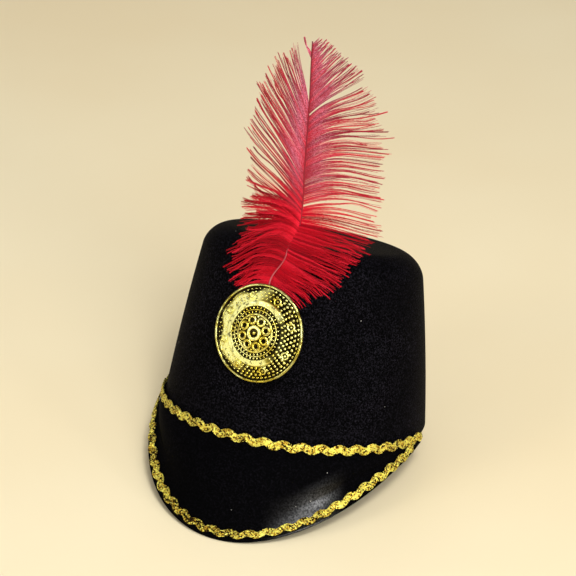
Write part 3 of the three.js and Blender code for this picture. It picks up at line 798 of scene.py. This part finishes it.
# Barbs: root and tip as shares of the length, reach as a share of the vane's reach, and the angles
# in degrees from straight up at which they leave the quill and arrive at their tips
vaneLeft = [
    (0.12, 0.065, 0.42, 98, 130), (0.16, 0.09, 0.56, 88, 130), (0.2, 0.12, 0.72, 76, 130),
    (0.24, 0.155, 0.86, 66, 128), (0.28, 0.195, 0.84, 60, 126), (0.31, 0.24, 0.8, 56, 120),
    (0.325, 0.29, 0.82, 54, 112), (0.34, 0.37, 0.8, 52, 92), (0.355, 0.45, 0.77, 49, 68),
    (0.375, 0.52, 0.79, 46, 54), (0.4, 0.566, 0.81, 43, 50), (0.43, 0.617, 0.83, 39, 47),
    (0.465, 0.694, 0.83, 35, 44), (0.49, 0.74, 0.79, 32, 42), (0.52, 0.77, 0.75, 31, 40),
    (0.566, 0.806, 0.71, 30, 38), (0.602, 0.842, 0.645, 28, 36), (0.633, 0.872, 0.57, 26, 33),
    (0.668, 0.908, 0.47, 23, 28), (0.714, 0.949, 0.36, 19, 22), (0.765, 0.972, 0.25, 14, 16),
]
vaneDown = [
    (0.3, 0.27, 0.66, 66, 112), (0.325, 0.325, 0.76, 58, 106), (0.35, 0.375, 0.8, 52, 98),
    (0.37, 0.42, 0.79, 47, 88), (0.392, 0.462, 0.74, 43, 76),
]
vaneTuft = [(0.925, 0.99, 0.11, 30, 12), (0.945, 1.003, 0.155, 34, 10)]
vaneRight = [
    (0.12, 0.055, 0.4, 128, 142), (0.143, 0.075, 0.51, 124, 136), (0.175, 0.1, 0.62, 120, 130),
    (0.21, 0.137, 0.73, 114, 124), (0.263, 0.205, 0.83, 106, 112), (0.311, 0.27, 0.91, 97, 102),
    (0.357, 0.335, 0.95, 88, 98), (0.378, 0.37, 0.97, 78, 98), (0.4, 0.425, 0.97, 66, 96),
    (0.434, 0.464, 0.97, 60, 96), (0.464, 0.5, 0.96, 57, 96), (0.5, 0.536, 0.96, 54, 95),
    (0.535, 0.59, 0.96, 50, 92), (0.566, 0.638, 0.985, 47, 88), (0.602, 0.684, 0.975, 45, 84),
    (0.628, 0.73, 0.935, 43, 74), (0.668, 0.78, 0.87, 41, 62), (0.69, 0.824, 0.79, 40, 54),
    (0.716, 0.868, 0.72, 39, 49), (0.74, 0.895, 0.635, 39, 44), (0.775, 0.929, 0.49, 39, 41),
    (0.842, 0.957, 0.365, 40, 41), (0.912, 0.985, 0.22, 40, 40), (0.975, 1.0, 0.09, 38, 36),
]
fluff = {
    "pitch": 0.335, "jitter": 0.4, "lockPitch": 1.75, "points": 11, "root": 0.2, "tip": 0.12,
    "clump": 0.88, "depth": 1.6, "seed": 11, "barbule": 1.5, "spacing": 0.62, "tilt": 40.0,
    "spike": 0.06, "long": 0.97, "ragged": 0.05, "slip": 0.8, "strays": 0.16, "strayHold": 0.35,
    "leavePull": 0.46, "arrivePull": 0.36, "wave": 0.64, "wander": 0.06,
}


def plumeCourse():
    y, z = [-float(wallAt)], [plume["foot"]]
    for s in range(math.ceil(plume["length"] * 1.06)):
        bend = float(smooth(s, plume["straight"], plume["straight"] + plume["bend"]))
        lean = wallLean + (math.radians(plume["forward"]) - wallLean) * bend
        y.append(y[-1] + math.sin(lean))
        z.append(z[-1] + math.cos(lean))
    return np.array(y), np.array(z)


courseY, courseZ = plumeCourse()


def plumePoints(x, along, off):
    s, steps = along * plume["length"], np.arange(len(courseY))
    y = np.interp(s, steps, courseY) + plume["curl"] * (x / plume["reach"]) ** 2 - off
    return np.stack([x, y, np.interp(s, steps, courseZ)], -1)


def quillSway(along):
    places, sways = np.array(quillLine).T
    i = np.clip(np.searchsorted(places, along), 1, len(places) - 1)
    share = smooth(along, places[i - 1], places[i])
    return plume["sway"] * (sways[i - 1] + (sways[i] - sways[i - 1]) * share)


def featherFinish():
    red = {
        "shade": (0.24, 0.0, 0.006), "body": (0.58, 0.001, 0.012), "light": (0.82, 0.018, 0.045),
        "pale": (0.98, 0.36, 0.52),
    }
    f = Finish("redFeather")
    tone, pale, fuzz = map(f.attribute, ("tone", "pale", "fuzz"))
    core = f.range(fuzz, 0.0, 1.0, 0.32, 0.0)
    colour = f.ramp(tone - core * pale, [
        (0.1, red["shade"]), (0.5, red["body"]), (0.95, red["light"])])
    colour = f.mix(pale * (fuzz * 0.92 + 0.08), colour, rgb(*red["pale"]))
    return f.surface(Base_Color=colour, Roughness=0.7, Specular_IOR_Level=0.15,
                     Sheen_Weight=0.05, Sheen_Roughness=0.4, Sheen_Tint=rgb(1.0, 0.3, 0.35))


def quillFinish():
    f = Finish("featherQuill")
    along = f.attribute("tone")
    colour = f.ramp(along, [(0.0, (0.5, 0.13, 0.14)), (0.17, (0.42, 0.07, 0.08)),
                            (0.27, (0.3, 0.0, 0.012)), (1.0, (0.14, 0.0, 0.012))])
    return f.surface(Base_Color=colour, Roughness=0.35)


featherLook = featherFinish()


def barbMaker():
    m = Maker("featherBarbs", {
        "Barbule": "NodeSocketFloat", "Spacing": "NodeSocketFloat", "Tilt": "NodeSocketFloat",
        "Seed": "NodeSocketInt"})
    curve = m.node("GeometryNodeMeshToCurve", None, {"Mesh": m.given()})
    circle = m.node("GeometryNodeCurvePrimitiveCircle", None, {"Resolution": 3})
    tube = m.node("GeometryNodeCurveToMesh", None, {
        "Curve": curve, "Profile Curve": circle, "Scale": m.named("thick"), "Fill Caps": True})
    dots = m.node("GeometryNodeCurveToPoints", {"mode": "LENGTH"}, {
        "Curve": curve, "Length": m.given("Spacing")})
    facing = Socket(m, dots.socket.node.outputs["Rotation"])
    spin = m.node("FunctionNodeRandomValue", None, {3: 2 * math.pi, "Seed": m.given("Seed")}, 1)
    lean = m.node("ShaderNodeCombineXYZ", None, {"X": m.given("Tilt"), "Z": spin})
    turned = m.node("FunctionNodeRotateRotation", {"rotation_space": "LOCAL"}, {
        "Rotation": facing, "Rotate By": lean})
    spike = m.node("GeometryNodeMeshCone", None, {
        "Vertices": 3, "Radius Bottom": fluff["spike"], "Depth": 1.0})
    spike = m.node("GeometryNodeStoreNamedAttribute", None, {
        "Geometry": spike, "Name": "fuzz", "Value": 1.0})
    many = m.node("GeometryNodeInstanceOnPoints", None, {
        "Points": dots, "Instance": spike, "Rotation": turned,
        "Scale": m.named("fluff") * m.given("Barbule")})
    both = m.node("GeometryNodeJoinGeometry", None, {0: tube})
    m.tree.links.new(many.socket, both.socket.node.inputs[0])
    m.close(both, featherLook)
    return m


barbs = barbMaker()


# One layer of barbs, rooted from low to high on the quill and depth millimetres ahead of it. The
# other arguments with a value of 1 are factors on what the layer has by itself.
def barbLines(table, side, low, high, seed, gaps=(), pitch=1.0, depth=0.0, shrink=1.0, fray=1.0,
              lock=1.0, down=1.0, fine=1.0, clump=1.0):
    rng = np.random.default_rng(seed)
    rows = np.array(table)
    tips = np.stack([rows[:, 2] * plume["reach"], rows[:, 1] * plume["length"]], -1)
    spread = (np.linalg.norm(np.diff(tips, axis=0), axis=1)
              + np.diff(rows[:, 0]) * plume["length"]) / 2
    course = np.concatenate([[0], np.cumsum(spread)])
    start, stop = np.interp([low, high], rows[:, 0], course)
    at = np.arange(start, stop, fluff["pitch"] * pitch)
    jitter = rng.uniform(-fluff["jitter"], fluff["jitter"], len(at))
    at = at + jitter * fluff["pitch"] * pitch
    for gapStart, gapEnd in gaps:
        first, last = np.interp([gapStart, gapEnd], rows[:, 0], course)
        at = at[(at < first) | (at > last)]
    width = fluff["lockPitch"] * lock
    edges = np.cumsum(rng.uniform(0.5, 1.5, int(course[-1] / width * 1.5) + 40)) * width
    locks = np.unique(np.searchsorted(edges, at), return_inverse=True)[1]
    count = locks.max() + 1
    lockLength = rng.normal(fluff["long"], fluff["ragged"] * fray, count)
    lockLength = np.clip(lockLength, 0.6, 1.05) * shrink
    lockLift = rng.normal(0, 1.0, count) * fluff["depth"]
    lockTone = rng.uniform(0.2, 0.8, count)
    lockSlip = rng.normal(0, fluff["slip"] * fray, count)
    lockAt = np.array([at[locks == k].mean() for k in range(count)]) + lockSlip
    t = np.linspace(0, 1, fluff["points"])[None, :]

    def lines(place, length):
        root, tip, reach, leave, arrive = (
            np.interp(place, course, rows[:, n]) for n in range(5))
        start = np.stack([quillSway(root), root * plume["length"]], -1)
        span = np.stack([side * reach * plume["reach"], (tip - root) * plume["length"]], -1)
        span = span * length[:, None]
        size = np.linalg.norm(span, axis=1, keepdims=True)
        leaving, arriving = (np.stack([side * np.sin(turn), np.cos(turn)], -1)
                             for turn in np.radians((leave, arrive)))
        first = start + fluff["leavePull"] * size * leaving
        end = start + span
        second = end - fluff["arrivePull"] * size * arriving
        return bezier([p[:, None, :] for p in (start, first, second, end)], t[..., None]), root

    own, root = lines(at, lockLength[locks] * rng.uniform(0.9, 1.03, len(at)))
    middle = lines(lockAt, lockLength)[0][locks]
    hold = fluff["clump"] * clump * smooth(t, 0.12, 0.75)
    stray = rng.uniform(0, 1, len(at)) < fluff["strays"]
    hold = np.where(stray[:, None], hold * fluff["strayHold"], hold)[..., None]
    place = own + (middle - own) * hold
    wave = rng.normal(0, fluff["wave"] * fray, (count, 1, 2)) * np.sin(
        t[..., None] * rng.uniform(4, 9, (count, 1, 1)) + rng.uniform(0, 6, (count, 1, 1)))
    wander = rng.normal(0, fluff["wander"], place.shape).cumsum(axis=1) + wave[locks]
    place = place + wander * smooth(t, 0.1, 1)[..., None] * smooth(root, 0.1, 0.2)[:, None, None]
    calm = smooth(root, 0.13, 0.27)[:, None]
    lift = (depth + (lockLift[locks] + rng.normal(0, 0.4, len(at)))[:, None] * t ** 1.4) * calm
    points = plumePoints(place[..., 0], place[..., 1] / plume["length"], lift)
    thick = fine * (fluff["root"] + (fluff["tip"] - fluff["root"]) * t)
    soft = down * (0.3 + 0.7 * smooth(t, 0.0, 0.15)) * (1 - 0.6 * t)
    tone = np.clip(lockTone[locks] + rng.normal(0, 0.12, len(at)), 0, 1)[:, None]
    upper = smooth(root, 0.36, 0.5)[:, None]
    near = 1 - smooth(np.abs(place[..., 0] - quillSway(root)[:, None]), 4, 22)
    crest = smooth(root, 0.66, 0.8)[:, None] * (1 if side > 0 else 0.4)
    pale = np.clip(upper * (0.3 + 0.6 * near) + crest * 0.65, 0, 1)
    shape = points.shape[:2]
    return points, *(np.broadcast_to(each, shape) for each in (thick, soft, tone, pale))


def makeBarbs(name, groups, seed):
    points, thick, soft, tone, pale = (
        np.concatenate([g[n].reshape(-1, *g[n].shape[2:]) for g in groups]) for n in range(5))
    edges = [(i, i + 1) for i in range(len(points)) if (i + 1) % fluff["points"]]
    piece = barbs.run(name, rowPoints(points), edges, {
        "thick": ("FLOAT", thick / 1000), "fluff": ("FLOAT", soft), "tone": ("FLOAT", tone),
        "pale": ("FLOAT", pale)}, {
        "Barbule": fluff["barbule"] / 1000, "Spacing": fluff["spacing"] / 1000,
        "Tilt": math.radians(fluff["tilt"]), "Seed": seed}, smooth=False)
    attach(piece, "root")
    print(name, "made", len(piece.data.polygons))


def makePlume():
    along = np.linspace(0, plume["end"], plume["steps"] + 1)
    radius, lift = (np.interp(along, *plume[name]) for name in ("thick", "lift"))
    centre = plumePoints(quillSway(along), along, lift)
    turns = np.linspace(0, 2 * math.pi, plume["sides"], endpoint=False)
    circle = np.stack([np.cos(turns), np.sin(turns), 0 * turns], -1)
    rows = [centre[:1]] + [c + circle * r for c, r in zip(centre, radius)] + [centre[-1:]]
    points, faces = rowsMesh(rows)
    quill = pieceFrom("plumeQuill", rowPoints(points), faces, quillFinish())
    setAttribute(quill.data, "tone", [0, *np.repeat(along, plume["sides"]), 1])
    turnOut(quill)
    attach(quill, "root")
    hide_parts("plume")
    seed = fluff["seed"]
    makeBarbs("barbsLeftLow", [
        barbLines(vaneLeft, -1, 0.12, 0.36, seed, pitch=0.68, lock=1.3, fray=1.7, down=1.2,
                  fine=0.75, clump=1.03),
        barbLines(vaneLeft, -1, 0.12, 0.36, seed + 1, pitch=0.85, depth=1.4, shrink=0.86,
                  fray=2.8, lock=1.1, down=1.3, fine=0.75, clump=0.9)], seed)
    makeBarbs("barbsLeftDown", [
        barbLines(vaneDown, -1, 0.3, 0.392, seed + 7, pitch=0.42, depth=0.4, fray=1.8, lock=0.9,
                  down=1.7, fine=0.75, clump=0.6)], seed + 7)
    makeBarbs("barbsLeftHigh", [
        barbLines(vaneLeft, -1, 0.36, 0.77, seed + 2),
        barbLines(vaneLeft, -1, 0.5, 0.77, seed + 9, pitch=1.6, shrink=0.95, down=1.4, fine=0.8,
                  clump=0.5),
        barbLines(vaneTuft, -1, 0.925, 0.945, seed + 6, pitch=0.5)], seed + 2)
    makeBarbs("barbsRightLow", [
        barbLines(vaneRight, 1, 0.12, 0.38, seed + 3, pitch=0.62, lock=0.7, down=1.2, fine=0.75),
        barbLines(vaneRight, 1, 0.12, 0.34, seed + 4, pitch=0.8, depth=1.4, shrink=0.88,
                  fray=2.6, lock=0.8, down=1.3, fine=0.75, clump=0.8)], seed + 3)
    makeBarbs("barbsRightHigh", [
        barbLines(vaneRight, 1, 0.38, 0.975, seed + 5, gaps=[(0.727, 0.734), (0.409, 0.414)],
                  lock=1.4, clump=1.06),
        barbLines(vaneRight, 1, 0.42, 0.72, seed + 10, pitch=2.5, shrink=0.96, down=1.3, fine=0.8,
                  clump=0.6),
        barbLines(vaneRight, 1, 0.742, 0.975, seed + 8, pitch=1.3, shrink=0.94, lock=0.6,
                  down=1.4)], seed + 5)


makePlume()


# Floor, light and camera
def makeStage():
    stage = {
        "half": 12.0, "dark": (0.90, 0.76, 0.49), "light": (0.94, 0.83, 0.57), "cloudScale": 2.2,
        "sky": (1.0, 0.95, 0.87), "skyStrength": 0.36, "aim": (0, 0, 0.12),
    }
    f = Finish("paleFloor")
    tone = f.noise(stage["cloudScale"], 3.0)
    colour = f.mix(f.range(tone, 0.35, 0.7), rgb(*stage["dark"]), rgb(*stage["light"]))
    look = f.surface(Base_Color=colour, Roughness=0.85)
    half = stage["half"]
    corners = [(-half, -half, 0), (half, -half, 0), (half, half, 0), (-half, half, 0)]
    floor = pieceFrom("floor", corners, [[0, 1, 2, 3]], look)

    world = bpy.data.worlds.new("studio")
    world.use_nodes = True
    sky = world.node_tree.nodes["Background"]
    sky.inputs["Color"].default_value = rgb(*stage["sky"])
    sky.inputs["Strength"].default_value = stage["skyStrength"]
    bpy.context.scene.world = world

    lamps = [  # name, place, size, watts, degrees of spread
        ("keyRight", (1.5, -1.6, 1.5), 1.3, 9.4, 110),
        ("lowRight", (1.9, -0.95, 0.42), 0.35, 1.05, 60),
        ("overhead", (0.8, -0.95, 1.95), 0.5, 10.3, 120),
        ("frontLeft", (-1.5, -1.9, 1.2), 1.0, 4.9, 110),
        ("behind", (-0.9, 2.1, 1.5), 1.2, 3.0, 120),
    ]
    for name, place, size, watts, spread in lamps:
        lamp = bpy.data.lights.new(name, "AREA")
        lamp.size, lamp.energy = size, watts
        lamp.spread = math.radians(spread)
        holder = bpy.data.objects.new(name, lamp)
        holder.location = place
        aim = Vector(stage["aim"]) - Vector(place)
        holder.rotation_euler = aim.to_track_quat("-Z", "Y").to_euler()
        bpy.context.collection.objects.link(holder)
    print("stage made")


def makeCamera():
    view = {"azimuth": 22.76, "elevation": 29.94, "roll": 1.08, "distance": 1.557, "lens": 137.36,
            "aim": (-0.01559, 0.03991, 0.10912)}
    lens = bpy.data.cameras.new("photoCamera")
    lens.lens = view["lens"]
    camera = bpy.data.objects.new("photoCamera", lens)
    azimuth, elevation = math.radians(view["azimuth"]), math.radians(view["elevation"])
    back = Vector((math.sin(azimuth) * math.cos(elevation),
                   -math.cos(azimuth) * math.cos(elevation), math.sin(elevation)))
    camera.location = Vector(view["aim"]) + back * view["distance"]
    facing = (-back).to_track_quat("-Z", "Y").to_matrix()
    facing = facing @ Matrix.Rotation(math.radians(view["roll"]), 3, "Z")
    camera.rotation_euler = facing.to_euler()
    bpy.context.collection.objects.link(camera)
    bpy.context.scene.camera = camera
    bpy.context.scene.view_settings.view_transform = "Standard"
    print("camera set")


makeStage()
makeCamera()
